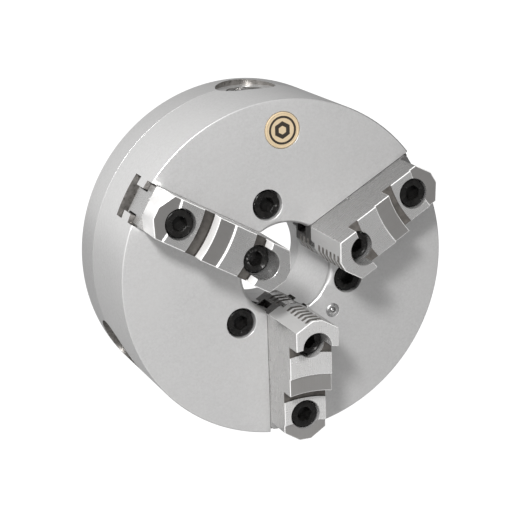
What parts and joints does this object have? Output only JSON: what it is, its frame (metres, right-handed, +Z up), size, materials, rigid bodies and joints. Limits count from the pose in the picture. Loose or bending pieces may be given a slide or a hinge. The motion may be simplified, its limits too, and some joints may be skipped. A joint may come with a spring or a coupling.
{
  "type": "three-jaw lathe chuck",
  "caption": "Self-centring scroll lathe chuck with stepped two-piece jaws, a through bore, key-driven pinions and a short-taper seat for the spindle nose.",
  "frame": {"origin": "centre of the back mounting face, on the chuck's axis", "axes": "+Y along the chuck's axis towards the machine, so the jaws and the front face look along -Y; +Z up through the first pinion and the badge, with the first jaw straight below; +X to the right seen from the front"},
  "size_m": [0.2, 0.1214, 0.2],
  "materials": {
    "body_ground_steel": "ground, satin",
    "plate_turned_steel": "fine turned, satin",
    "hardened_steel": "ground and oiled",
    "jaw_steel": "surface ground",
    "black_oxide_steel": "black oxide, satin",
    "badge_enamel": "cream enamel, satin",
    "zinc_plated_steel": "bright zinc plate"
  },
  "bodies": {
    "frame": {"chuck_body": "body_ground_steel", "back_plate": "plate_turned_steel", "mounting_screw_1": "black_oxide_steel", "mounting_screw_2": "black_oxide_steel", "mounting_screw_3": "black_oxide_steel", "cover_screw_1": "black_oxide_steel", "cover_screw_2": "black_oxide_steel", "cover_screw_3": "black_oxide_steel", "cover_screw_4": "black_oxide_steel", "cover_screw_5": "black_oxide_steel", "cover_screw_6": "black_oxide_steel", "dowel_pin_1": "hardened_steel", "dowel_pin_2": "hardened_steel", "badge": "badge_enamel", "oiler_cup": "zinc_plated_steel", "oiler_ball": "zinc_plated_steel"},
    "scroll": {"scroll_plate": "hardened_steel"},
    "pinion_1_body": {"pinion_1": "hardened_steel"},
    "pinion_2_body": {"pinion_2": "hardened_steel"},
    "pinion_3_body": {"pinion_3": "hardened_steel"},
    "jaw_1_body": {"base_jaw_1": "jaw_steel", "top_jaw_1": "jaw_steel", "jaw_screw_inner_1": "black_oxide_steel", "jaw_screw_outer_1": "black_oxide_steel"},
    "jaw_2_body": {"base_jaw_2": "jaw_steel", "top_jaw_2": "jaw_steel", "jaw_screw_inner_2": "black_oxide_steel", "jaw_screw_outer_2": "black_oxide_steel"},
    "jaw_3_body": {"base_jaw_3": "jaw_steel", "top_jaw_3": "jaw_steel", "jaw_screw_inner_3": "black_oxide_steel", "jaw_screw_outer_3": "black_oxide_steel"}
  },
  "joints": [
    {"name": "scroll_turn", "type": "hinge", "parent": "frame", "child": "scroll", "pos_m": [0, -0.045, 0], "axis": [0, 1, 0], "range_deg": [-594, 720]},
    {"name": "jaw_1_slide", "type": "slide", "parent": "frame", "child": "jaw_1_body", "axis": [0, 0, -1], "range_m": [-0.0165, 0.02]},
    {"name": "jaw_2_slide", "type": "slide", "parent": "frame", "child": "jaw_2_body", "axis": [0.866, 0, 0.5], "range_m": [-0.0165, 0.02]},
    {"name": "jaw_3_slide", "type": "slide", "parent": "frame", "child": "jaw_3_body", "axis": [-0.866, 0, 0.5], "range_m": [-0.0165, 0.02]},
    {"name": "pinion_1_turn", "type": "hinge", "parent": "frame", "child": "pinion_1_body", "pos_m": [0, -0.0233, 0.09], "axis": [0, 0, 1], "range_deg": [-4158, 5040]},
    {"name": "pinion_2_turn", "type": "hinge", "parent": "frame", "child": "pinion_2_body", "pos_m": [-0.07794, -0.0233, -0.045], "axis": [-0.866, 0, -0.5], "range_deg": [-4158, 5040]},
    {"name": "pinion_3_turn", "type": "hinge", "parent": "frame", "child": "pinion_3_body", "pos_m": [0.07794, -0.0233, -0.045], "axis": [0.866, 0, -0.5], "range_deg": [-4158, 5040]}
  ],
  "couplings": [
    {"joint": "jaw_1_slide", "follows": "scroll_turn", "m_per_rad": 0.0015915},
    {"joint": "jaw_2_slide", "follows": "scroll_turn", "m_per_rad": 0.0015915},
    {"joint": "jaw_3_slide", "follows": "scroll_turn", "m_per_rad": 0.0015915},
    {"joint": "pinion_1_turn", "follows": "scroll_turn", "ratio": 7},
    {"joint": "pinion_2_turn", "follows": "scroll_turn", "ratio": 7},
    {"joint": "pinion_3_turn", "follows": "scroll_turn", "ratio": 7}
  ]
}
